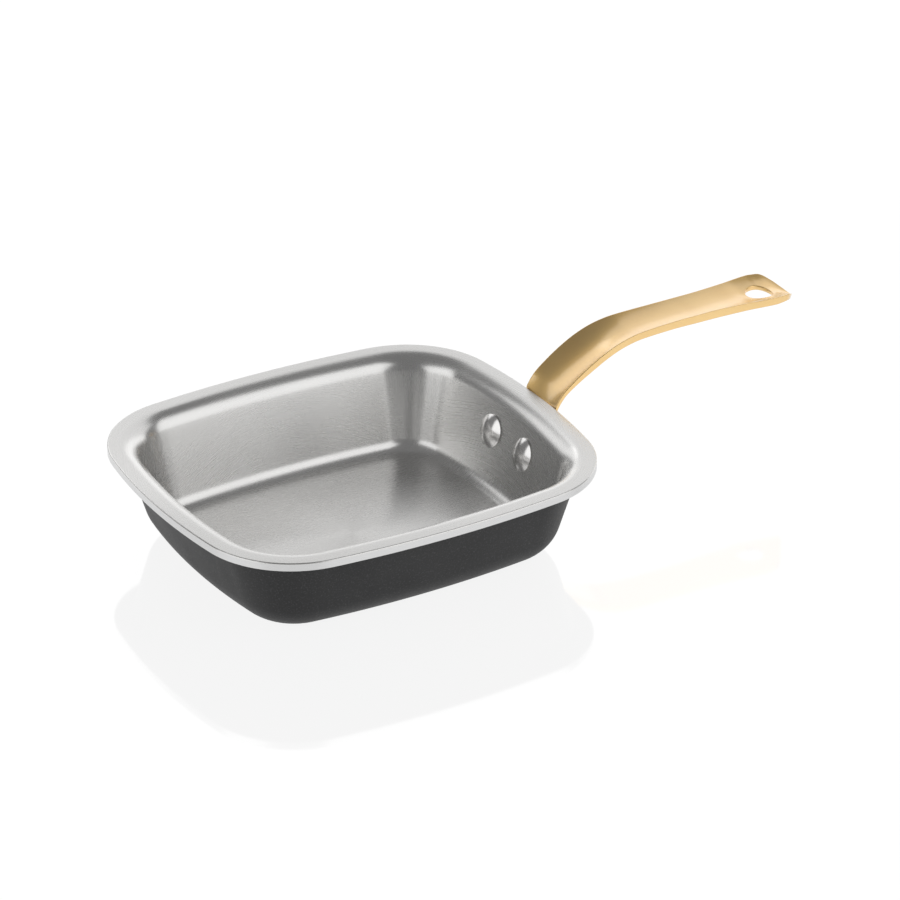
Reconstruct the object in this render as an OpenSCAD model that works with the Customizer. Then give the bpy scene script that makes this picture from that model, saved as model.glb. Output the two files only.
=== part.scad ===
// Frying pan with four bowed sides, pressed from clad sheet, with a dished strip handle on two rivets.
// Origin at the centre of the base's underside, +Z up, +X towards the handle, millimetres.

/* [Pan] */
// Length over the rim, in line with the handle
rim_length = 160; // [150:1:170]
// Width over the rim, across the handle
rim_width = 141; // [132:1:150]
// Height of the rim's top face above the base
pan_height = 37.4; // [33:0.2:44]
// Plan radius of the rim's four corners
corner_radius = 36.2; // [33:0.2:39]
// How far a long side's arc bulges over the full length
long_side_bow = 7.9; // [6:0.1:10]
// How far a short side's arc bulges over the full width
short_side_bow = 10.1; // [8:0.1:12]
// Lean of the wall from upright, in degrees
wall_draft = 16.7; // [10:0.1:18]
// Inside radius between wall and floor
floor_fillet = 12.8; // [9:0.2:14]

/* [Rolled rim] */
// Width of the flat flange, from its cut edge to the roll
flange_flat = 4.3; // [3:0.1:5]
// Radius of the roll from the flange into the wall, on its upper face
roll_radius = 5.3; // [4:0.1:6]
// Radius on the upper arris of the cut edge
edge_round = 0.4; // [0.2:0.05:0.5]

/* [Clad sheet] */
// Thickness of the steel lining
lining_gauge = 0.6; // [0.5:0.05:0.8]
// Thickness of the aluminium core
core_gauge = 1.9; // [1.4:0.1:2.2]
// Thickness of the black outer skin
skin_gauge = 0.5; // [0.3:0.05:0.6]

/* [Handle] */
// Reach of the handle's nose beyond the rim
handle_reach = 111; // [90:0.5:130]
// Height of the grip's edges above the rim
handle_rise = 21.6; // [18:0.1:28]
// Width of the neck
neck_width = 20.8; // [19:0.1:23]
// Width at the waist of the grip
waist_width = 17.5; // [16:0.1:20]
// Width of the paddle round the hanging hole
paddle_width = 22.6; // [20:0.1:26]
// Thickness of the strip
strip_gauge = 1.5; // [1.2:0.1:2]
// Depth of the hollow along the top of the grip
groove_depth = 1.7; // [1:0.1:2.2]
// Depth of the scoop at the nose
scoop_depth = 3.9; // [3:0.1:4.5]
// Height of the strip's turned-down side faces along the grip
side_height = 3.4; // [2.6:0.1:4]
// Width of the foot that the rivets hold
foot_width = 37; // [35:0.5:41]
// Depth of the foot's lower end below the rim's top face
foot_depth = 23.2; // [22:0.2:24]

/* [Hanging hole] */
// Radius of the hole
hole_radius = 5.2; // [4:0.1:5.6]
// Distance from the hole's centre to the nose
hole_setback = 15.3; // [14:0.1:18]

/* [Rivets] */
// Distance between the two rivets
rivet_spacing = 22.2; // [20:0.1:24]
// Depth of the rivets below the rim's top face
rivet_depth = 14.9; // [13.5:0.1:15.5]
// Diameter of the domed head inside the pan
head_diameter = 12.6; // [11:0.1:13.5]
// Height of the dome
head_height = 2.2; // [1.6:0.1:2.6]
// Diameter of the shank
shank_diameter = 5; // [4:0.1:6]
// Diameter of the set tail on the foot
tail_diameter = 9.6; // [8:0.1:11]
// Height of the set tail
tail_height = 1.4; // [1:0.1:2]

/* [Hidden] */

// Radial gap round a shank in its bore
shank_gap = 0.02;
// Gap between the handle and the rim that it passes under
rim_gap = 0.3;
// How far a cutting solid runs past what it cuts
overrun = 1;
// How deep the foot and the rivets start inside the sheet before they are trimmed to it
trim = 0.3;
// Numbers of flat steps along each arc, between two handle rows and across the strip's two faces
short_side_steps = 8;
long_side_steps = 6;
corner_steps = 8;
roll_steps = 5;
fillet_steps = 6;
arris_steps = 2;
row_steps = 3;
upper_steps = 12;
lower_steps = 8;

sheet = lining_gauge + core_gauge + skin_gauge;

// Plan of the rim: two long arcs, two short arcs and four corner arcs, all tangent
half_x = rim_length / 2;
half_y = rim_width / 2;
long_radius = half_x * half_x / (2 * long_side_bow);
short_radius = half_y * half_y / (2 * short_side_bow);
long_centre = [0, half_y - long_radius];
short_centre = [half_x - short_radius, 0];
link = short_centre - long_centre;
link_unit = link / norm(link);
reach_long = long_radius - corner_radius;
reach_short = short_radius - corner_radius;
along = (reach_long ^ 2 - reach_short ^ 2 + norm(link) ^ 2) / (2 * norm(link));
across = sqrt(reach_long ^ 2 - along ^ 2);
corner = long_centre + along * link_unit + across * [link_unit.y, -link_unit.x];
long_turn = atan2(corner.y - long_centre.y, corner.x - long_centre.x);
short_turn = atan2(corner.y - short_centre.y, corner.x - short_centre.x);

// Stations round the plan, each an arc's centre, its radius and a direction
function arc_stations(centre, radius, from, to, steps) =
    [for (i = [0:steps - 1]) [centre, radius, from + (to - from) * i / steps]];
short_stations = arc_stations(short_centre, short_radius, -short_turn, short_turn, short_side_steps);
half_plan = concat(
    short_stations,
    arc_stations(corner, corner_radius, short_turn, long_turn, corner_steps),
    arc_stations(long_centre, long_radius, long_turn, 180 - long_turn, long_side_steps),
    arc_stations([-corner.x, corner.y], corner_radius, 180 - long_turn, 180 - short_turn, corner_steps));
plan = concat(half_plan, [for (s = half_plan) [-s[0], s[1], s[2] + 180]]);
function on_plan(station, inset, height) = [
    station[0].x + (station[1] - inset) * cos(station[2]),
    station[0].y + (station[1] - inset) * sin(station[2]),
    pan_height + height];

// Section of the sheet: insets from the rim and heights from its top face, for a face at a set depth
floor_level = sheet - pan_height;
wall_normal = [cos(wall_draft), sin(wall_draft)];
wall_top = [flange_flat, -roll_radius] + roll_radius * wall_normal;
fillet_height = floor_level + floor_fillet;
fillet_inset = (wall_top * wall_normal + floor_fillet - fillet_height * wall_normal.y) / wall_normal.x;
bend_turn = 90 - wall_draft;
function wall_inset(below_rim, depth) =
    wall_top.x + (below_rim + wall_top.y) * tan(wall_draft) - depth / cos(wall_draft);
function roll_points(depth) = [for (i = [0:roll_steps]) let (a = bend_turn * i / roll_steps)
    [flange_flat, -roll_radius] + (roll_radius - depth) * [sin(a), cos(a)]];
function fillet_points(depth) = [for (i = [fillet_steps:-1:0]) let (a = bend_turn * i / fillet_steps)
    [fillet_inset, fillet_height] - (floor_fillet + depth) * [sin(a), cos(a)]];
function edge_points(depth, arris) = arris == 0 ? [[0, -depth]]
    : [for (i = [0:arris_steps]) let (a = 90 * i / arris_steps) arris * [1 - cos(a), sin(a) - 1] - [0, depth]];
function face_points(depth, arris) =
    concat(edge_points(depth, arris), roll_points(depth), fillet_points(depth));
function backwards(list) = [for (i = [len(list) - 1:-1:0]) list[i]];

// Skin of flat facets between rows of points that each close on themselves
function row_facets(rows, count, from) = [for (i = [from:from + rows - 2]) for (j = [0:count - 1])
    let (a = i * count + j, b = i * count + (j + 1) % count)
    each [[a, a + count, b + count], [a, b + count, b]]];
function ring_list(row, count) = [for (j = [0:count - 1]) row * count + j];

// One ply of the sheet, between the depths of its upper and its lower face
module ply(upper, lower, arris) {
    upper_face = face_points(upper, arris);
    section = concat(upper_face, backwards(face_points(lower, 0)));
    rows = len(section);
    turns = len(plan);
    floor_row = len(upper_face) - 1;
    rim_facets = [for (j = [0:turns - 1]) let (a = (rows - 1) * turns + j, b = (rows - 1) * turns + (j + 1) % turns)
        each [[a, j, (j + 1) % turns], [a, (j + 1) % turns, b]]];
    polyhedron(
        points = [for (p = section) for (s = plan) on_plan(s, p.x, p.y)],
        faces = concat(
            row_facets(floor_row + 1, turns, 0),
            [backwards(ring_list(floor_row, turns))],
            [ring_list(floor_row + 1, turns)],
            row_facets(rows - floor_row - 1, turns, floor_row + 1),
            rim_facets),
        convexity = 6);
}

// Block that fills the bowed end wall between two depths of the sheet
module wall_block(upper, lower) {
    low = foot_depth + overrun;
    high = -wall_top.y;
    corners = [[low, upper], [low, lower], [high, lower], [high, upper]];
    count = len(corners);
    last = len(short_stations) - 1;
    polyhedron(
        points = [for (s = short_stations) for (c = corners) on_plan(s, wall_inset(c.x, c.y), -c.x)],
        faces = concat(
            row_facets(last + 1, count, 0),
            [backwards(ring_list(0, count))],
            [ring_list(last, count)]),
        convexity = 4);
}

// Places a child on the wall at each rivet, with Z pointing out along the wall's normal
rivet_radius = short_radius - wall_inset(rivet_depth, 0);
rivet_turn = asin(rivet_spacing / 2 / rivet_radius);
module at_rivets() {
    for (side = [-1, 1])
        translate([short_centre.x, 0, pan_height])
            rotate([0, 0, side * rivet_turn])
                translate([rivet_radius, 0, -rivet_depth])
                    rotate([0, 90 + wall_draft, 0]) children();
}

module rivet_bores() {
    at_rivets() translate([0, 0, -overrun]) cylinder(h = sheet + strip_gauge + 2 * overrun,
        r = shank_diameter / 2 + shank_gap, $fn = 48);
}

// Handle rows: x, z, half width, hollow and side height along the middle of the strip's upper face.
// Foot shares: depth below the rim, half width
foot_shares = [[1, 0.6], [0.96, 0.84], [0.89, 0.96], [0.76, 1], [0.56, 1], [0.48, 0.98], [0.41, 0.93]];
foot_rows = [for (s = foot_shares) let (down = foot_depth * s[0], half = foot_width / 2 * s[1]) [
    half_x - wall_inset(down, sheet) - trim,
    pan_height - down,
    half,
    half * half / (2 * (short_radius - wall_inset(down, sheet))),
    strip_gauge + trim]];
// Knee shares: rolls beyond the rim's edge, sheets above the rim, foot's part and neck's part of the half
// width, hollow
knee_shares = [
    [-1.20, -2.30, 0.74, 0.00, 0.35],
    [-0.55, -1.50, 0.62, 0.00, 0.20],
    [0.10, -1.08, 0.00, 1.03, 0.20],
    [0.24, 0.10, 0.00, 0.99, 0.60]];
knee_rows = [for (s = knee_shares) [
    half_x + roll_radius * s[0],
    pan_height + sheet * s[1],
    (foot_width * s[2] + neck_width * s[3]) / 2,
    groove_depth * s[4],
    strip_gauge]];
// Grip shares: reach, rise, pull to the neck's width, pull to the paddle's width, closing, hollow, side height
grip_shares = [
    [0.037, 0.170, 0.97, 0.00, 1.00, 0.95, 0.55],
    [0.083, 0.355, 1.00, 0.00, 1.00, 1.05, 0.65],
    [0.136, 0.538, 1.00, 0.00, 1.00, 1.05, 0.79],
    [0.190, 0.690, 0.95, 0.00, 1.00, 1.05, 0.82],
    [0.245, 0.806, 0.80, 0.00, 1.00, 1.00, 0.82],
    [0.301, 0.878, 0.55, 0.00, 1.00, 0.95, 0.85],
    [0.356, 0.914, 0.30, 0.00, 1.00, 0.85, 0.88],
    [0.470, 0.939, 0.03, 0.00, 1.00, 0.76, 0.92],
    [0.560, 0.947, 0.00, 0.00, 1.00, 0.72, 0.98],
    [0.650, 0.950, 0.00, 0.04, 1.00, 0.72, 1.00],
    [0.754, 0.926, 0.00, 0.42, 1.00, 0.99, 0.90],
    [0.811, 0.889, 0.00, 0.72, 1.00, 1.47, 0.88],
    [0.865, 0.882, 0.00, 1.00, 0.99, 1.56, 0.88]];
grip_rows = [for (s = grip_shares) [
    half_x + handle_reach * s[0],
    pan_height + handle_rise * s[1],
    (waist_width + (neck_width - waist_width) * s[2] + (paddle_width - waist_width) * s[3]) / 2 * s[4],
    groove_depth * s[5],
    side_height * s[6]]];
// Nose shares: reach, rise, closing, scoop, side height
nose_shares = [
    [0.890, 0.875, 0.970, 0.71, 0.86],
    [0.918, 0.847, 0.890, 0.79, 0.80],
    [0.950, 0.792, 0.690, 0.62, 0.70],
    [0.977, 0.736, 0.440, 0.35, 0.62],
    [0.991, 0.704, 0.250, 0.15, 0.58],
    [1.000, 0.685, 0.070, 0.03, 0.56]];
nose_rows = [for (s = nose_shares) [
    half_x + handle_reach * s[0],
    pan_height + handle_rise * s[1],
    paddle_width / 2 * s[2],
    scoop_depth * s[3],
    side_height * s[4]]];
handle_rows = concat(foot_rows, knee_rows, grip_rows, nose_rows);

// Smooth curve through the rows, with its heading
function row(i) = i < 0 ? 2 * handle_rows[0] - handle_rows[1]
    : i >= len(handle_rows) ? 2 * handle_rows[len(handle_rows) - 1] - handle_rows[len(handle_rows) - 2]
    : handle_rows[i];
function through(a, b, c, d, t) =
    (2 * b + (c - a) * t + (2 * a - 5 * b + 4 * c - d) * t ^ 2 + (3 * b - a - 3 * c + d) * t ^ 3) / 2;
function heading(a, b, c, d, t) =
    let (v = (c - a) + 2 * (2 * a - 5 * b + 4 * c - d) * t + 3 * (3 * b - a - 3 * c + d) * t ^ 2)
    atan2(v[1], v[0]);
function station_at(i, t) = concat(
    through(row(i - 1), row(i), row(i + 1), row(i + 2), t),
    [heading(row(i - 1), row(i), row(i + 1), row(i + 2), t)]);
handle_stations = concat(
    [for (i = [0:len(handle_rows) - 2]) for (j = [0:row_steps - 1]) station_at(i, j / row_steps)],
    [station_at(len(handle_rows) - 2, 1)]);

// Outline of the strip at one station: its hollow upper face, then its under face back again
function on_strip(s, across_share, lift) =
    [s[0] - sin(s[5]) * lift, across_share * s[2], s[1] + cos(s[5]) * lift];
function strip_outline(s) = let (under = s[3] + strip_gauge - s[4]) concat(
    [for (i = [0:upper_steps]) let (v = 2 * i / upper_steps - 1) on_strip(s, v, s[3] * v ^ 2)],
    [for (i = [0:lower_steps]) let (v = 1 - 2 * i / lower_steps) on_strip(s, v, under * v ^ 2 - strip_gauge)]);

module strip() {
    outlines = [for (s = handle_stations) strip_outline(s)];
    count = len(outlines[0]);
    last = len(outlines) - 1;
    // The two ends are stitched between the upper and the under face
    end_facets = [for (j = [0:upper_steps - 1])
        let (here = count - 1 - round(j * lower_steps / upper_steps),
            next = count - 1 - round((j + 1) * lower_steps / upper_steps))
        each (here == next ? [[j, j + 1, here]] : [[j, j + 1, here], [j + 1, next, here]])];
    polyhedron(
        points = [for (o = outlines) each o],
        faces = concat(
            row_facets(last + 1, count, 0),
            end_facets,
            [for (f = end_facets) [f[0] + last * count, f[2] + last * count, f[1] + last * count]]),
        convexity = 4);
}

// Upright bore through the paddle's dish
module hanging_hole() {
    translate([half_x + handle_reach - hole_setback, 0, pan_height])
        cylinder(h = 2 * handle_rise, r = hole_radius, $fn = 72);
}

// Room round the rolled rim that the handle leaves free
module rim_room() {
    translate([short_centre.x, 0, pan_height])
        rotate_extrude(angle = 2 * short_turn, start = -short_turn, $fn = 240)
            polygon([
                [short_radius - wall_top.x, rim_gap],
                [short_radius - wall_inset(-wall_top.y, 0), wall_top.y - rim_gap],
                [short_radius - wall_inset(-wall_top.y, sheet) + rim_gap, wall_top.y - rim_gap],
                [short_radius - flange_flat, -sheet - rim_gap],
                [short_radius + rim_gap, -sheet - rim_gap],
                [short_radius + rim_gap, rim_gap]]);
}

// Bonded lining of brushed steel: the inside of the pan, the flange and its upper arris
module steel_lining() {
    color([0.78, 0.78, 0.77]) difference() {
        ply(0, lining_gauge, edge_round);
        rivet_bores();
    }
}

// Aluminium core, seen only as the bright cut edge of the rim
module aluminium_core() {
    color([0.85, 0.85, 0.84]) difference() {
        ply(lining_gauge, sheet - skin_gauge, 0);
        rivet_bores();
    }
}

// Outer skin with its baked black coating, down to the base
module black_skin() {
    color([0.2, 0.2, 0.2]) difference() {
        ply(sheet - skin_gauge, sheet, 0);
        rivet_bores();
    }
}

// Pressed handle strip: foot on the end wall, bend under the rim, neck, hollow grip and scooped nose
module handle() {
    color([0.85, 0.66, 0.38]) difference() {
        strip();
        wall_block(0, sheet);
        rim_room();
        rivet_bores();
        hanging_hole();
    }
}

// Two rivets: domed head inside the pan, shank through the sheet and the foot, set tail outside
module rivets() {
    head_sphere = (head_diameter ^ 2 / 4 + head_height ^ 2) / (2 * head_height);
    color([0.8, 0.8, 0.8]) {
        difference() {
            at_rivets() intersection() {
                translate([0, 0, head_sphere - head_height]) sphere(r = head_sphere, $fn = 96);
                translate([0, 0, -2 * head_height])
                    cylinder(h = 2 * head_height + trim, d = head_diameter, $fn = 72);
            }
            wall_block(0, sheet);
        }
        at_rivets() translate([0, 0, -head_height / 2])
            cylinder(h = head_height / 2 + sheet + strip_gauge + tail_height / 2, d = shank_diameter, $fn = 48);
        difference() {
            at_rivets() translate([0, 0, sheet + strip_gauge - trim])
                cylinder(h = tail_height + trim, d = tail_diameter, $fn = 72);
            wall_block(0, sheet + strip_gauge);
        }
    }
}

steel_lining();
aluminium_core();
black_skin();
handle();
rivets();
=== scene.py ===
import bpy
import numpy as np
from mathutils import Matrix, Vector


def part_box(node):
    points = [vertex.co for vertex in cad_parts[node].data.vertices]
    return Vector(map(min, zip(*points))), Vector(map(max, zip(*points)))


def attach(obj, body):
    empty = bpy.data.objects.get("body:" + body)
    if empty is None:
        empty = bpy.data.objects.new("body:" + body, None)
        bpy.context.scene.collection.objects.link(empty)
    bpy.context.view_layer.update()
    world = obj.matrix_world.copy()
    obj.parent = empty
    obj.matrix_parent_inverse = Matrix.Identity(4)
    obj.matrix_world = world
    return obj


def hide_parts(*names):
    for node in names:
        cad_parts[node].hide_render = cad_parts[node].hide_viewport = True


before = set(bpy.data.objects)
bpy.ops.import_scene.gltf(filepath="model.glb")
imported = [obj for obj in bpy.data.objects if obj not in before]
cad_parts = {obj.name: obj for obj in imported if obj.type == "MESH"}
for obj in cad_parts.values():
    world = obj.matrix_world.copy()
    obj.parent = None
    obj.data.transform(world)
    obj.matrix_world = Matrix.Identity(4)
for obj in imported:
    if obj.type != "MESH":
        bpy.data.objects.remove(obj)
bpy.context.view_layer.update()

mm = 0.001
bpy.context.scene.view_settings.view_transform = "Standard"

# Camera. It stands at the photograph's place, 1.6 m off with a long lens, and looks at a point between
# the pan's middle and the handle, in the plane of the rim.
azimuth, elevation = np.radians(-30.60), np.radians(27.69)
aim, camera_distance = np.array([30.1, -18.77, 37.4]) * mm, 1633.3
focal_pixels, picture_pixels, sensor_width = 4549.2, 900, 36
back = np.array([
    np.sin(azimuth) * np.cos(elevation), -np.cos(azimuth) * np.cos(elevation), np.sin(elevation)])
right = np.array([np.cos(azimuth), np.sin(azimuth), 0])
up = np.cross(back, right)
camera = bpy.data.objects.new("camera", bpy.data.cameras.new("camera"))
camera.data.sensor_width = sensor_width
camera.data.lens = focal_pixels / picture_pixels * sensor_width
camera.data.clip_end = 50
placing = Matrix(np.column_stack([right, up, back]).tolist()).to_4x4()
placing.translation = Vector(aim + back * camera_distance * mm)
camera.matrix_world = placing
bpy.context.scene.collection.objects.link(camera)
bpy.context.scene.camera = camera


# Steel lining. It is the inner ply of the clad sheet, 0.6 mm of stainless steel rolled onto the core.
# One draw forms the floor, the walls and the rolled flange, and the inside is then brushed to a satin.
pan_height, sheet = 37.4, 3.0
half_x, half_y = 80.0, 70.5
corner_radius, long_bow, short_bow = 36.2, 7.9, 10.1
lining_gauge, edge_round = 0.6, 0.4
inner_face = {"flat": 4.4, "roll": 7.6, "draft": np.radians(15.5), "fillet": 6.0}
outer_face = {"flat": 4.3, "roll": 2.3, "draft": np.radians(16.7), "fillet": 15.8}
station_step, arris_steps, roll_steps, wall_steps, fillet_steps, floor_steps = 1.5, 6, 18, 16, 22, 24
sharp_angle = np.radians(60)
steel_colour = (0.77, 0.765, 0.755, 1)


def arcs_of_plan():
    """Centres, radii and directions of the rim's eight tangent arcs: the two side circles are known from
    their bows, and the corner's centre lies where both side circles, drawn in by its radius, cross."""
    long_radius, short_radius = half_x ** 2 / (2 * long_bow), half_y ** 2 / (2 * short_bow)
    long_centre, short_centre = np.array([0, half_y - long_radius]), np.array([half_x - short_radius, 0])
    link = short_centre - long_centre
    far = np.hypot(*link)
    reach_long, reach_short = long_radius - corner_radius, short_radius - corner_radius
    along = (reach_long ** 2 - reach_short ** 2 + far ** 2) / (2 * far)
    across = np.sqrt(reach_long ** 2 - along ** 2)
    corner = long_centre + along * link / far + across * np.array([link[1], -link[0]]) / far
    long_turn = np.arctan2(*(corner - long_centre)[::-1])
    short_turn = np.arctan2(*(corner - short_centre)[::-1])
    return long_centre, short_centre, corner, long_radius, short_radius, long_turn, short_turn


long_centre, short_centre, corner, long_radius, short_radius, long_turn, short_turn = arcs_of_plan()


def plan_stations():
    """Stations round the rim: an arc's centre, its radius and a direction, a step apart along each arc.
    Half the plan is laid out and the other half is the same turned by half a turn."""
    half_turn = np.pi
    spans = [
        (short_centre, short_radius, -short_turn, short_turn),
        (corner, corner_radius, short_turn, long_turn),
        (long_centre, long_radius, long_turn, half_turn - long_turn),
        (corner * [-1, 1], corner_radius, half_turn - long_turn, half_turn - short_turn)]
    half = []
    for centre, radius, start, end in spans:
        count = 2 * int(np.ceil(radius * (end - start) / station_step / 2))
        turn = start + (end - start) * np.arange(count) / count
        half.append(np.column_stack([np.tile(centre, (count, 1)), np.full(count, radius), turn]))
    half = np.vstack(half)
    return np.vstack([half, half * [-1, -1, 1, 1] + [0, 0, 0, half_turn]])


def face_line(depth):
    """Flat, roll, draft and fillet of the face at a depth in the sheet, between the inner and the outer
    face in proportion; then the wall's normal, its top, and the centre of the fillet at its foot."""
    share = depth / sheet
    flat, roll, draft, fillet = ((1 - share) * inner_face[k] + share * outer_face[k] for k in inner_face)
    normal = np.array([np.cos(draft), np.sin(draft)])
    top = np.array([flat, -depth - roll]) + roll * normal
    height = sheet - pan_height - depth + fillet
    inset = (top @ normal + fillet - height * normal[1]) / normal[0]
    return flat, roll, draft, fillet, top, np.array([inset, height])


def wall_inset(below, depth):
    """Inset of the straight wall at a height below the rim, for a face at a depth in the sheet."""
    _, _, draft, _, top, _ = face_line(depth)
    return top[0] + (below + top[1]) * np.tan(draft)


def face_section(depth, arris):
    """Section of one face of the sheet from the rim inwards: arris, flat flange, roll, straight wall and
    fillet, the two bends as arcs that meet the wall without a kink."""
    flat, roll, draft, fillet, top, centre = face_line(depth)
    bend = np.pi / 2 - draft
    parts = []
    if arris:
        turn = np.linspace(0, np.pi / 2, arris_steps)[:, None]
        parts.append(arris * np.hstack([1 - np.cos(turn), np.sin(turn) - 1]) - [0, depth])
        parts.append(np.array([[2 * arris, -depth], [flat / 2, -depth]]))
    else:
        parts.append(np.array([[0, -depth], [2 * edge_round, -depth], [flat / 2, -depth]]))
    turn = np.linspace(0, bend, roll_steps)[:, None]
    parts.append([flat, -depth - roll] + roll * np.hstack([np.sin(turn), np.cos(turn)]))
    turn = np.linspace(bend, 0, fillet_steps)[:, None]
    bowl = centre - fillet * np.hstack([np.sin(turn), np.cos(turn)])
    share = np.linspace(0, 1, wall_steps)[1:-1, None]
    parts += [top * (1 - share) + bowl[0] * share, bowl]
    return np.vstack(parts)


def spread_round(stations, section):
    """Carries a section round the plan: each point lies on its station's arc, drawn in by its inset."""
    radius = stations[:, 2] - section[:, :1]
    x = stations[:, 0] + radius * np.cos(stations[:, 3])
    y = stations[:, 1] + radius * np.sin(stations[:, 3])
    return np.stack([x, y, np.broadcast_to(section[:, 1:] + pan_height, x.shape)], axis=-1)


def quads(index):
    """Four-sided faces between the neighbours of a grid of vertex numbers."""
    return np.stack([
        index[:-1, :-1], index[1:, :-1], index[1:, 1:], index[:-1, 1:]], axis=-1).reshape(-1, 4)


def make_mesh(name, points, faces, marks=None):
    """A mesh object from points in millimetres, smooth but for edges that turn by more than the sharp
    angle. Vertex numbers that no face uses are left out, and marks names the vectors kept for vertices."""
    faces = [np.asarray(f, int) for f in faces]
    used = np.unique(np.concatenate([f.ravel() for f in faces]))
    place = np.full(len(points), -1)
    place[used] = np.arange(len(used))
    mesh = bpy.data.meshes.new(name)
    mesh.from_pydata((points[used] * mm).tolist(), [], [row for f in faces for row in place[f].tolist()])
    mesh.polygons.foreach_set("use_smooth", np.ones(len(mesh.polygons), bool))
    for mark, values in (marks or {}).items():
        kept = mesh.attributes.new(mark, "FLOAT_VECTOR", "POINT")
        kept.data.foreach_set("vector", values[used].astype(np.float32).ravel())
    mesh.set_sharp_from_angle(angle=sharp_angle)
    mesh.validate()
    thing = bpy.data.objects.new(name, mesh)
    bpy.context.scene.collection.objects.link(thing)
    return thing


def ply(name, upper, lower, arris):
    """One closed ply: its upper face runs from the floor's middle out to the rim, and its lower face runs
    back. The floor is the fillet's last ring drawn in to the middle, where one vertex closes it. Two marks
    are kept: brushing, the place on the rim and the way down the section, and edge, 1 on the cut edge."""
    stations = plan_stations()
    rim_up, rim_down = face_section(upper, arris), face_section(lower, 0)
    rings = np.concatenate([spread_round(stations, rim_up)[::-1], spread_round(stations, rim_down)])
    count = len(stations)
    shrink = np.linspace(0, 1, floor_steps + 1)[1:-1, None, None]
    middle_up, middle_down = rings[0].mean(axis=0) * [0, 0, 1], rings[-1].mean(axis=0) * [0, 0, 1]
    floor_up = middle_up + (rings[0] - middle_up) * shrink
    floor_down = middle_down + (rings[-1] - middle_down) * shrink[::-1]
    grid = np.concatenate([floor_up, rings, floor_down])
    rows = len(grid)
    points = np.vstack([grid.reshape(-1, 3), middle_up, middle_down])
    index = np.arange(rows * count).reshape(rows, count)
    index = np.hstack([index, index[:, :1]])
    top = np.column_stack([np.full(count, rows * count), index[0, :-1], index[0, 1:]])
    foot = np.column_stack([index[-1, :-1], np.full(count, rows * count + 1), index[-1, 1:]])
    step = np.linalg.norm(np.diff(grid, axis=0, prepend=grid[:1]), axis=-1)
    down = np.cumsum(step, axis=0)
    rim = np.broadcast_to(spread_round(stations, rim_up[:1])[0, :, :2], (rows, count, 2))
    cut, below_edge = np.zeros((rows, count)), len(floor_up) + len(rim_up)
    cut[[below_edge - 1, below_edge]] = 1
    marks = {
        "brushing": np.vstack([np.dstack([rim, down]).reshape(-1, 3), np.zeros((2, 3))]) * mm,
        "edge": np.vstack([np.repeat(cut.reshape(-1, 1), 3, axis=1), np.zeros((2, 3))])}
    return make_mesh(name, points, [quads(index), top, foot], marks)


class Wire:
    """A shader socket that takes part in sums. Each operator adds the Math node that it stands for."""

    def __init__(self, finish, socket):
        self.finish, self.socket = finish, socket

    def maths(self, operation, first, second=0.0):
        return self.finish.node("ShaderNodeMath", {"operation": operation}, {0: first, 1: second})

    def __add__(self, other): return self.maths("ADD", self, other)
    def __radd__(self, other): return self.maths("ADD", other, self)
    def __sub__(self, other): return self.maths("SUBTRACT", self, other)
    def __rsub__(self, other): return self.maths("SUBTRACT", other, self)
    def __mul__(self, other): return self.maths("MULTIPLY", self, other)
    def __rmul__(self, other): return self.maths("MULTIPLY", other, self)
    def __abs__(self): return self.maths("ABSOLUTE", self)

    def swing(self, size):
        """Noise about a half, moved to vary about nought and scaled to a size."""
        return (self - 0.5) * size


class Finish:
    """A material round one Principled shader, whose fixed values are set on the shader's own sockets."""

    def __init__(self, name, **fixed):
        self.material = bpy.data.materials.new(name)
        self.material.use_nodes = True
        self.nodes, self.links = self.material.node_tree.nodes, self.material.node_tree.links
        self.shader = self.nodes["Principled BSDF"]
        for socket, value in fixed.items():
            self.shader.inputs[socket.replace("_", " ")].default_value = value

    def node(self, kind, settings, sockets, output=0):
        """Makes any node: its settings first, then a value or a link for each socket it is given."""
        made = self.nodes.new(kind)
        for setting, value in settings.items():
            setattr(made, setting, value)
        for socket, value in sockets.items():
            if isinstance(value, Wire):
                self.links.new(value.socket, made.inputs[socket])
            else:
                made.inputs[socket].default_value = value
        return Wire(self, made.outputs[output])

    def feed(self, socket, wire):
        self.links.new(wire.socket, self.shader.inputs[socket])

    def place(self, turn=(0, 0, 0), scale=(1, 1, 1)):
        """Object coordinates, turned and stretched."""
        where = self.node("ShaderNodeTexCoord", {}, {}, "Object")
        return self.node("ShaderNodeMapping", {}, {"Vector": where, "Rotation": turn, "Scale": scale})

    def mark(self, name, scale=(1, 1, 1)):
        """A vector that the mesh keeps for its vertices, stretched."""
        kept = self.node("ShaderNodeAttribute", {"attribute_name": name}, {}, "Vector")
        return self.node("ShaderNodeMapping", {}, {"Vector": kept, "Scale": scale})

    def noise(self, where, scale, detail=2.0, roughness=0.5):
        return self.node("ShaderNodeTexNoise", {}, {
            "Vector": where, "Scale": scale, "Detail": detail, "Roughness": roughness})

    def ramp(self, wire, low, high, to_low=0.0, to_high=1.0):
        return self.node("ShaderNodeMapRange", {"interpolation_type": "SMOOTHSTEP"},
            {0: wire, 1: low, 2: high, 3: to_low, 4: to_high})

    def blend(self, factor, first, second):
        return self.node("ShaderNodeMix", {"data_type": "RGBA"}, {0: factor, 6: first, 7: second}, 2)

    def bump(self, height, strength, distance):
        self.feed("Normal", self.node("ShaderNodeBump", {}, {
            "Height": height, "Strength": strength, "Distance": distance}))


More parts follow.
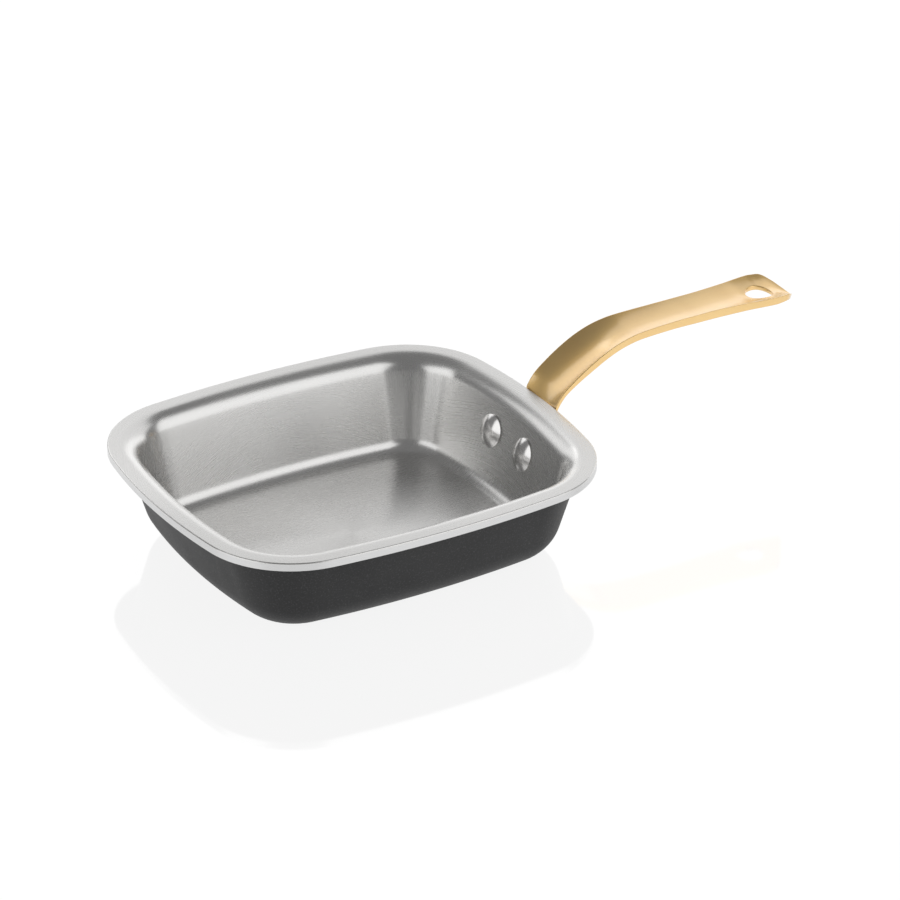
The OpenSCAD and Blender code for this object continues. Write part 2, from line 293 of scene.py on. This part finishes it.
def brushed_steel(name, colour, roughness):
    """Satin steel. The wall is brushed round the pan, the corners up and down, and the floor lengthwise
    with a slight slant: three stretched noises, chosen by height and by how far out in a corner it lies."""
    steel = Finish(name, Metallic=1.0, Base_Color=colour, Anisotropic=0.65, Anisotropic_Rotation=0.25)
    slant, dulling, line_detail = np.radians(-6), 0.97, 3.0
    corner_begins, roll_begins, floor_ends = (0.100, 0.112), (0.033, 0.0365), (0.0035, 0.009)
    wall_lines = steel.noise(steel.mark("brushing", (45, 45, 2600)), 1.0, line_detail)
    corner_lines = steel.noise(steel.mark("brushing", (1500, 1500, 60)), 1.0, line_detail)
    floor_lines = steel.noise(steel.place((0, 0, slant), (60, 2200, 60)), 1.0, line_detail)
    where = steel.node("ShaderNodeTexCoord", {}, {}, "Object")
    apart = steel.node("ShaderNodeSeparateXYZ", {}, {0: where}).socket.node
    x, y, z = (Wire(steel, socket) for socket in apart.outputs)
    outward = abs(x) + abs(y) * 1.1
    in_corner = steel.ramp(outward, *corner_begins) * (1 - steel.ramp(z, *roll_begins))
    on_floor = 1 - steel.ramp(z, *floor_ends)
    lines = wall_lines + (corner_lines - wall_lines) * in_corner
    lines = lines + (floor_lines - lines) * on_floor
    cloud = steel.noise(steel.place(), 55.0, 2.0)
    steel.feed("Roughness", roughness + lines.swing(0.05) + cloud.swing(0.04))
    dull = tuple(dulling * c for c in colour[:3]) + (1,)
    steel.feed("Base Color", steel.blend(steel.ramp(lines, 0.25, 0.75), dull, colour))
    steel.bump(lines, 0.018 + in_corner * 0.06, 0.00004)
    return steel.material


lining = ply("steel_lining_dressed", 0, lining_gauge, edge_round)
lining.data.materials.append(brushed_steel("satin_steel", steel_colour, 0.27))
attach(lining, "root")
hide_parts("steel_lining")


# Aluminium core. It is the thick middle ply, which carries the heat, and only its machined cut edge
# shows round the rim, as a pale band that was turned after trimming.
core_gauge, skin_gauge = 1.9, 0.5


def cut_edge(name, colour):
    """Machined aluminium: very fine lines that run round the rim, in the roughness and a light bump."""
    metal = Finish(name, Metallic=1.0, Base_Color=colour)
    lines = metal.noise(metal.mark("brushing", (30, 30, 3500)), 1.0, 2.0)
    metal.feed("Roughness", 0.30 + lines.swing(0.2))
    metal.bump(lines, 0.2, 0.00003)
    return metal.material


core = ply("aluminium_core_dressed", lining_gauge, lining_gauge + core_gauge, 0)
core.data.materials.append(cut_edge("cut_aluminium", (0.72, 0.72, 0.72, 1)))
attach(core, "root")
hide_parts("aluminium_core")


# Black skin. It is the thin outer ply of steel, coated and baked to a matte black with a fine speckle,
# from the underside of the flange down to the flat base. Its own cut edge at the rim is bare.
def baked_coating(name, colour, speck, bare_metal):
    """Matte coating: grains of a slightly lighter colour, with an orange-peel bump at the same scale. The
    mark on the cut edge leaves it bare."""
    coat = Finish(name, Base_Color=colour, Specular_IOR_Level=0.34)
    grain = coat.noise(coat.place(), 1500.0, 2.0, 0.6)
    patch = coat.noise(coat.place(), 90.0, 2.0)
    bare = coat.ramp(coat.node("ShaderNodeAttribute", {"attribute_name": "edge"}, {}, "Fac"), 0.80, 0.90)
    coated = coat.blend(coat.ramp(grain, 0.5, 0.75), colour, speck)
    coat.feed("Base Color", coat.blend(bare, coated, bare_metal))
    coat.feed("Metallic", bare)
    coat.feed("Roughness", 0.52 + patch.swing(0.12) - bare * 0.2)
    coat.bump(grain, 0.35, 0.00006)
    return coat.material


skin = ply("black_skin_dressed", sheet - skin_gauge, sheet, 0)
skin.data.materials.append(baked_coating(
    "matte_black", (0.028, 0.028, 0.029, 1), (0.066, 0.066, 0.068, 1), (0.72, 0.72, 0.72, 1)))
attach(skin, "root")
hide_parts("black_skin")


# Handle. It is one pressed strip of gold-coloured metal, satin polished: a foot that the rivets hold on
# the end wall, a bend under the rim, a neck, a hollow grip and a scooped nose with a hanging hole.
handle_reach, handle_rise = 111.0, 21.6
neck_width, waist_width, paddle_width, foot_width = 20.8, 17.5, 22.6, 37.0
strip_gauge, groove_depth, scoop_depth, side_height, foot_depth = 1.5, 1.7, 3.9, 3.4, 23.2
hole_radius, hole_setback = 5.2, 15.3
rim_gap, rim_band, trim, softening, knee_size = 0.3, 2.0, 0.3, 0.4, 5.3
hole_x = half_x + handle_reach - hole_setback
grid_before_hole, grid_past_hole, steps_per_row, columns_inside = 8.5, 9.0, 9, 27


def handle_rows():
    """Rows of x, z, half width, hollow and side height, in the order foot, knee, grip and nose. Each part
    is listed in shares of its named sizes: the foot by its depth and width; the knee by its size, the
    sheet, the foot's and the neck's width and the hollow; the grip and the nose by reach, rise, widths,
    hollow or scoop, and side height."""
    foot = np.array([
        [1, 0.6], [0.96, 0.84], [0.89, 0.96], [0.76, 1], [0.56, 1], [0.48, 0.98], [0.41, 0.93]])
    below, half = foot_depth * foot[:, 0], foot_width / 2 * foot[:, 1]
    inset = wall_inset(below, sheet)
    foot = np.column_stack([half_x - inset - trim, pan_height - below, half,
        half ** 2 / (2 * (short_radius - inset)), np.full(len(half), strip_gauge + trim)])
    knee = np.array([[-1.20, -2.30, 0.74, 0, 0.35], [-0.55, -1.50, 0.62, 0, 0.20],
        [0.075, -1.08, 0, 1.03, 0.30], [0.075, -0.33, 0, 1.00, 0.55]])
    knee = np.column_stack([half_x + knee_size * knee[:, 0], pan_height + sheet * knee[:, 1],
        (foot_width * knee[:, 2] + neck_width * knee[:, 3]) / 2, groove_depth * knee[:, 4],
        np.full(len(knee), strip_gauge)])
    grip = np.array([
        [0.037, 0.170, 0.97, 0.00, 1.00, 0.95, 0.55], [0.083, 0.355, 1.00, 0.00, 1.00, 1.05, 0.65],
        [0.136, 0.538, 1.00, 0.00, 1.00, 1.05, 0.79], [0.190, 0.690, 0.95, 0.00, 1.00, 1.05, 0.82],
        [0.245, 0.806, 0.80, 0.00, 1.00, 1.00, 0.82], [0.301, 0.878, 0.55, 0.00, 1.00, 0.95, 0.85],
        [0.356, 0.914, 0.30, 0.00, 1.00, 0.85, 0.88], [0.470, 0.939, 0.03, 0.00, 1.00, 0.76, 0.92],
        [0.560, 0.947, 0.00, 0.00, 1.00, 0.72, 0.98], [0.650, 0.950, 0.00, 0.04, 1.00, 0.72, 1.00],
        [0.754, 0.926, 0.00, 0.42, 1.00, 0.99, 0.90], [0.811, 0.889, 0.00, 0.72, 1.00, 1.47, 0.88],
        [0.865, 0.882, 0.00, 1.00, 0.99, 1.56, 0.88]])
    width = (waist_width + (neck_width - waist_width) * grip[:, 2]
        + (paddle_width - waist_width) * grip[:, 3])
    grip = np.column_stack([half_x + handle_reach * grip[:, 0], pan_height + handle_rise * grip[:, 1],
        width / 2 * grip[:, 4], groove_depth * grip[:, 5], side_height * grip[:, 6]])
    nose = np.array([[0.890, 0.875, 0.970, 0.71, 0.86], [0.918, 0.847, 0.890, 0.79, 0.80],
        [0.945, 0.802, 0.640, 0.58, 0.72], [0.960, 0.772, 0.450, 0.42, 0.67],
        [0.974, 0.743, 0.270, 0.26, 0.62], [0.984, 0.722, 0.150, 0.13, 0.59],
        [0.991, 0.708, 0.070, 0.04, 0.57]])
    nose = np.column_stack([half_x + handle_reach * nose[:, 0], pan_height + handle_rise * nose[:, 1],
        paddle_width / 2 * nose[:, 2], scoop_depth * nose[:, 3], side_height * nose[:, 4]])
    return np.vstack([foot, knee, grip, nose])


def smooth_rows(rows):
    """A smooth curve through the rows, by the cubic that leaves each row in line with its neighbours, and
    the heading of its x and z at each step as a last column."""
    ends = np.vstack([2 * rows[0] - rows[1], rows, 2 * rows[-1] - rows[-2]])
    a, b, c, d = (ends[i:len(ends) - 3 + i, None, :] for i in range(4))
    t = (np.arange(steps_per_row) / steps_per_row)[None, :, None]
    bent, cubic = 2 * a - 5 * b + 4 * c - d, 3 * b - a - 3 * c + d
    place = (2 * b + (c - a) * t + bent * t ** 2 + cubic * t ** 3) / 2
    pace = (c - a) + 2 * bent * t + 3 * cubic * t ** 2
    last = rows[-1] - rows[-2]
    place = np.vstack([place.reshape(-1, rows.shape[1]), rows[-1]])
    pace = np.vstack([pace.reshape(-1, rows.shape[1]), last])
    return np.column_stack([place, np.arctan2(pace[:, 1], pace[:, 0])])


def softened(inside):
    """Drop of a rounded edge, from how far inside its round a point lies: a quarter of a circle."""
    return softening - np.sqrt(softening ** 2 - np.clip(inside, 0, softening) ** 2)


def on_strip(stations, s, v, under):
    """Point of the strip at a place s along the stations and a share v of the half width: the middle line,
    lifted square to itself by the hollow times v squared, or for the under face by its own parabola, and
    rounded off at the long edges and at the hole's edge."""
    number = np.arange(len(stations))
    x, z, half, hollow, side, heading = (np.interp(s, number, column) for column in stations.T)
    drop = softened(np.abs(v) * half - half + softening)
    if under:
        lift = (hollow + strip_gauge - side) * v ** 2 - strip_gauge + drop
    else:
        lift = hollow * v ** 2 - drop
    x, y, z = x - np.sin(heading) * lift, v * half, z + np.cos(heading) * lift
    drop = softened(hole_radius + softening - np.hypot(x - hole_x, y))
    return np.stack([x, y, z + drop if under else z - drop], axis=-1)


def hole_edge(stations, around, under):
    """Places s and v of the hanging hole's edge on one face: a circle seen from above, whose place s is
    found by a few steps towards the true x."""
    x, number = hole_x + hole_radius * np.cos(around), np.arange(len(stations))
    s = np.interp(x, stations[:, 0], number)
    for _ in range(12):
        v = hole_radius * np.sin(around) / np.interp(s, number, stations[:, 2])
        miss = x - on_strip(stations, s, v, under)[:, 0]
        s = s + miss / np.gradient(stations[:, 0])[np.round(s).astype(int)]
    return s, v


def pressed_strip():
    """The strip as two faces on one grid of places, joined by its side walls and its two ends. Round the
    hanging hole the grid gives way to rings that pass from the grid's own border to the hole's edge. The
    outermost columns follow the rounded long edges, and the last rings the hole's rounded edge."""
    stations = smooth_rows(handle_rows())
    edge_columns = np.array([0.953, 0.965, 0.975, 0.984, 0.991, 0.996, 0.999, 1])
    beside = len(edge_columns)
    across = np.concatenate([-edge_columns[::-1], np.linspace(-0.94, 0.94, columns_inside), edge_columns])
    s_grid, v_grid = np.meshgrid(np.arange(len(stations)), across, indexing="ij")
    first, last = np.searchsorted(stations[:, 0], [hole_x - grid_before_hole, hole_x + grid_past_hole])
    rows, columns = s_grid.shape
    index = np.arange(rows * columns).reshape(rows, columns)
    inner = index[:, beside:-beside]
    border = np.concatenate([
        inner[first, :-1], inner[first:last, -1], inner[last, :0:-1], inner[last:first:-1, 0]])
    border_s, border_v = s_grid.ravel()[border], v_grid.ravel()[border]
    seen = on_strip(stations, border_s, border_v, False)
    around = np.arctan2(seen[:, 1], seen[:, 0] - hole_x)
    share = np.array([
        0.18, 0.36, 0.52, 0.66, 0.78, 0.86, 0.91, 0.94, 0.96, 0.975, 0.987, 0.996, 1])[:, None]
    points, faces, hole_rings = [], [], []
    size = rows * columns + len(share) * len(border)
    for level, under in enumerate((False, True)):
        s, v = hole_edge(stations, around, under)
        ring_s = border_s + (s - border_s) * share
        ring_v = border_v + (v - border_v) * share
        points += [on_strip(stations, s_grid.ravel(), v_grid.ravel(), under),
            on_strip(stations, ring_s.ravel(), ring_v.ravel(), under)]
        own = np.arange(len(share) * len(border)).reshape(len(share), -1) + rows * columns
        ring = np.vstack([border, own])
        ring = np.hstack([ring, ring[:, :1]])
        passed = index[first:last + 1]
        face = np.vstack([quads(index[:first + 1]), quads(index[last:]), quads(passed[:, :beside + 1]),
            quads(passed[:, -beside - 1:]), quads(ring)])
        faces.append(face[:, ::-1] + size if under else face)
        hole_rings.append(ring[-1] + level * size)
    edge, other, start, end = (
        np.stack([line, line + size]) for line in (index[:, 0], index[:, -1], index[0], index[-1]))
    faces += [quads(edge), quads(other)[:, ::-1], quads(start)[:, ::-1], quads(end),
        quads(np.stack(hole_rings))]
    return np.vstack(points), faces


def seat_on_wall(points):
    """Moves what would lie inside the end wall or the rim out to the wall's face, or to the rim's gap: a
    point's distance from the bowed wall's centre is never less than that of the wall at its height, nor,
    in the band beside the rim, than that of the rim and its gap."""
    away = points[:, :2] - short_centre
    distance = np.hypot(*away.T)
    below = pan_height - points[:, 2]
    wall, wall_top = short_radius - wall_inset(below, sheet), face_line(sheet)[4]
    least = np.where((below > -wall_top[1]) & (points[:, 0] < half_x), wall, 0)
    beside_rim = (below < sheet + rim_gap) & (below > -rim_gap) & (distance > short_radius - rim_band)
    least = np.where(beside_rim, short_radius + rim_gap, least)
    moved = np.maximum(distance, least)
    return np.column_stack([short_centre + away * (moved / distance)[:, None], points[:, 2]])


def satin_gold(name, colour, shade):
    """Gold-coloured metal under a clear coat, polished lengthwise to a satin: fine lines along the strip
    and soft clouds."""
    gold = Finish(
        name, Metallic=1.0, Base_Color=colour, Coat_Weight=1.0, Coat_Roughness=0.17, Coat_IOR=2.2)
    lines = gold.noise(gold.place((0, 0, 0), (40, 1400, 200)), 1.0, 2.0)
    cloud = gold.noise(gold.place(), 70.0, 2.0)
    gold.feed("Base Color", gold.blend(gold.ramp(cloud, 0.35, 0.7), colour, shade))
    gold.feed("Roughness", 0.38 + lines.swing(0.08) + cloud.swing(0.05))
    gold.bump(lines, 0.10, 0.00003)
    return gold.material


strip_points, strip_faces = pressed_strip()
strip_points = np.clip(seat_on_wall(strip_points), *(np.array(end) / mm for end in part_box("handle")))
handle = make_mesh("handle_dressed", strip_points, strip_faces)
handle.data.materials.append(satin_gold("satin_gold", (0.99, 0.65, 0.21, 1), (0.97, 0.62, 0.19, 1)))
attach(handle, "root")
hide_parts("handle")


# Rivets. Two solid steel rivets hold the handle: a polished dome inside the pan, a shank through the
# sheet and the foot, and a tail that was set flat against the foot outside.
rivet_spacing, rivet_depth = 22.2, 14.9
head_diameter, head_height, head_edge = 12.6, 2.2, 0.5
shank_diameter, tail_diameter, tail_height, tail_round = 5.0, 9.6, 1.4, 0.5
head_draw_in, head_sunk, shank_sunk, tail_sunk = 0.35, 0.1, 0.2, 0.4
cap_steps, tail_steps, rivet_directions = 24, 6, 72
rivet_tilt = inner_face["draft"]


def rivet_profile():
    """Radius and height of a rivet from the dome's top to the tail's end, height along the shank. The dome
    is a cap of the sphere that gives its width and height, and its edge draws in a little to the wall.
    Head, shank and tail begin a little way inside the sheet or the foot."""
    cap = head_height - head_edge
    sphere = (head_diameter ** 2 / 4 + cap ** 2) / (2 * cap)
    turn = np.linspace(0, np.arcsin(head_diameter / 2 / sphere), cap_steps)
    dome = np.column_stack([sphere * np.sin(turn), sphere - head_height - sphere * np.cos(turn)])
    wall = (wall_inset(rivet_depth, 0) - wall_inset(rivet_depth, sheet)) * np.cos(rivet_tilt)
    through = wall + strip_gauge
    turn = np.linspace(0, np.pi / 2, tail_steps)
    tail = np.column_stack([tail_diameter / 2 - tail_round + tail_round * np.cos(turn),
        through + tail_height - tail_round + tail_round * np.sin(turn)])
    shank = [[head_diameter / 2 - head_draw_in, head_sunk], [shank_diameter / 2, shank_sunk],
        [shank_diameter / 2, through - tail_sunk], [tail_diameter / 2, through - tail_sunk]]
    return np.vstack([dome, shank, tail, [[0, through + tail_height]]])


def turned(profile, frame_of_axis):
    """Turns a profile of radius and height round an axis: a grid of profile points by directions."""
    turn = 2 * np.pi * np.arange(rivet_directions) / rivet_directions
    ring = np.stack([np.outer(profile[:, 0], np.cos(turn)), np.outer(profile[:, 0], np.sin(turn)),
        np.repeat(profile[:, 1:], rivet_directions, axis=1)], axis=-1)
    return ring @ frame_of_axis[:, :3].T + frame_of_axis[:, 3]


def rivet_axes():
    """Frames of the two rivets: each stands on the bowed wall's inner face, square to it."""
    radius = short_radius - wall_inset(rivet_depth, 0)
    turn = np.arcsin(rivet_spacing / 2 / radius)
    frames = []
    for angle in (-turn, turn):
        flat = np.array([np.cos(angle), np.sin(angle)]) * np.cos(rivet_tilt)
        out = np.append(flat, -np.sin(rivet_tilt))
        side = np.array([-np.sin(angle), np.cos(angle), 0])
        foot = np.array([
            short_centre[0] + radius * np.cos(angle), radius * np.sin(angle), pan_height - rivet_depth])
        frames.append(np.column_stack([side, np.cross(out, side), out, foot]))
    return frames


def both_rivets(name):
    """Both rivets as one mesh; the dome's top and the tail's middle are each one vertex."""
    profile = rivet_profile()
    points, faces = [], []
    for number, axis in enumerate(rivet_axes()):
        ring = turned(profile, axis)
        rows, count = ring.shape[:2]
        index = np.arange(rows * count).reshape(rows, count) + number * rows * count
        index[0], index[-1] = index[0, 0], index[-1, 0]
        index = np.hstack([index, index[:, :1]])
        body = quads(index[1:-1])[:, ::-1]
        top = np.column_stack([index[0, :-1], index[1, 1:], index[1, :-1]])
        end = np.column_stack([index[-2, :-1], index[-2, 1:], index[-1, :-1]])
        points.append(ring.reshape(-1, 3))
        faces += [body, top, end]
    return make_mesh(name, np.vstack(points), faces)


def polished_steel(name, colour):
    """Polished steel, left a little uneven by the setting tool: soft clouds in roughness and bump."""
    steel = Finish(name, Metallic=1.0, Base_Color=colour)
    cloud = steel.noise(steel.place(), 420.0, 3.0)
    steel.feed("Roughness", 0.17 + cloud.swing(0.08))
    steel.bump(cloud, 0.08, 0.00008)
    return steel.material


rivets = both_rivets("rivets_dressed")
rivets.data.materials.append(polished_steel("polished_steel", (0.80, 0.79, 0.78, 1)))
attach(rivets, "root")
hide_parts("rivets")


# Floor and light. A white table with a faint gloss stands in a small product studio: a wide screen behind,
# brighter near the table, a narrower one beside it, and one panel each in front and on the left. Seen in
# reflections, the table's glow is a painted pool of light round the pan.
table_half, panel_distance = 6000, 3.0
room_level, paper_level = 0.20, 1.0


def white_table(name, glow, gloss_share, shade_share):
    """White for the camera. For reflections it glows as a painted pool of light round the pan, full near it
    and fading to about a third farther out. A share of mirror gloss and a share of real shading are mixed
    in, so that the pan keeps its faint mirror image and its shadow."""
    table = Finish(name, Base_Color=(0.9, 0.9, 0.9, 1), Roughness=0.6)
    path = table.node("ShaderNodeLightPath", {}, {}, "Is Camera Ray")
    lights = path.socket.node.outputs
    seen = path.maths("MAXIMUM", path, Wire(table, lights["Is Glossy Ray"]))
    seen = seen.maths("MAXIMUM", seen, Wire(table, lights["Is Transmission Ray"]))
    spot = table.node("ShaderNodeTexCoord", {}, {}, "Object")
    away = table.node("ShaderNodeVectorMath", {"operation": "LENGTH"}, {0: spot}, "Value")
    # Painted light: in reflections the table glows at full strength within 0.3 m of the pan and fades to
    # 0.35 by 0.7 m.
    painted_glow_round_pan = table.ramp(away, 0.3, 0.7, 1.0, 0.35)
    strength = painted_glow_round_pan + path * (glow - painted_glow_round_pan)
    white = table.node("ShaderNodeEmission", {}, {"Color": (1, 1, 1, 1), "Strength": strength})
    gloss = table.node("ShaderNodeBsdfGlossy", {}, {"Color": (1, 1, 1, 1), "Roughness": 0.06})
    plain = Wire(table, table.shader.outputs[0])
    sheen = table.node("ShaderNodeMixShader", {}, {0: gloss_share, 1: white, 2: gloss})
    pale = table.node("ShaderNodeMixShader", {}, {0: shade_share, 1: sheen, 2: plain})
    final = table.node("ShaderNodeMixShader", {}, {0: seen, 1: plain, 2: pale})
    table.links.new(final.socket, table.nodes["Material Output"].inputs["Surface"])
    return table.material


table_ends = (-table_half, table_half)
table_points = np.array([[x, y, 0] for x in table_ends for y in table_ends], float)
table = make_mesh("table", table_points, [np.array([[0, 2, 3, 1]])])
table.data.materials.append(white_table("white_table", 1.1, 0.13, 0.08))


def panel(name, bearing, low, high, spread, level):
    """A soft panel that fills a window of directions as seen from the pan: its bearing from +Y towards +X,
    its lowest and highest elevation and its spread, in degrees. It looks as bright as its level, because
    its power is the level times pi times its area."""
    bearing, low, high, half_spread = np.radians([bearing, low, high, spread / 2])
    middle = (low + high) / 2
    width = 2 * panel_distance * np.tan(half_spread)
    height = 2 * panel_distance * np.tan((high - low) / 2)
    out = Vector([np.sin(bearing) * np.cos(middle), np.cos(bearing) * np.cos(middle), np.sin(middle)])
    lamp = bpy.data.lights.new(name, "AREA")
    lamp.shape, lamp.size, lamp.size_y = "RECTANGLE", width, height
    lamp.energy = level * np.pi * width * height
    holder = bpy.data.objects.new(name, lamp)
    holder.location = out * panel_distance
    holder.rotation_euler = out.to_track_quat("Z", "Y").to_euler()
    bpy.context.scene.collection.objects.link(holder)


panel("back_screen", 52, 22, 50, 76, 0.66)
panel("back_screen_low", 52, -2, 22, 76, 1.0)
panel("back_strip", -9, 12, 37, 42, 0.90)
panel("front_panel", 146, 0, 58, 52, 0.95)
panel("left_panel", -90, 0, 42, 50, 0.95)

world = bpy.data.worlds.new("studio")
bpy.context.scene.world = world
world.use_nodes = True
nodes, links = world.node_tree.nodes, world.node_tree.links
ray = nodes.new("ShaderNodeLightPath")
room, paper = nodes["Background"], nodes.new("ShaderNodeBackground")
choose = nodes.new("ShaderNodeMixShader")
for shade, level in ((room, room_level), (paper, paper_level)):
    shade.inputs["Color"].default_value, shade.inputs["Strength"].default_value = (1, 1, 1, 1), level
links.new(ray.outputs["Is Camera Ray"], choose.inputs[0])
links.new(room.outputs[0], choose.inputs[1])
links.new(paper.outputs[0], choose.inputs[2])
links.new(choose.outputs[0], nodes["World Output"].inputs["Surface"])
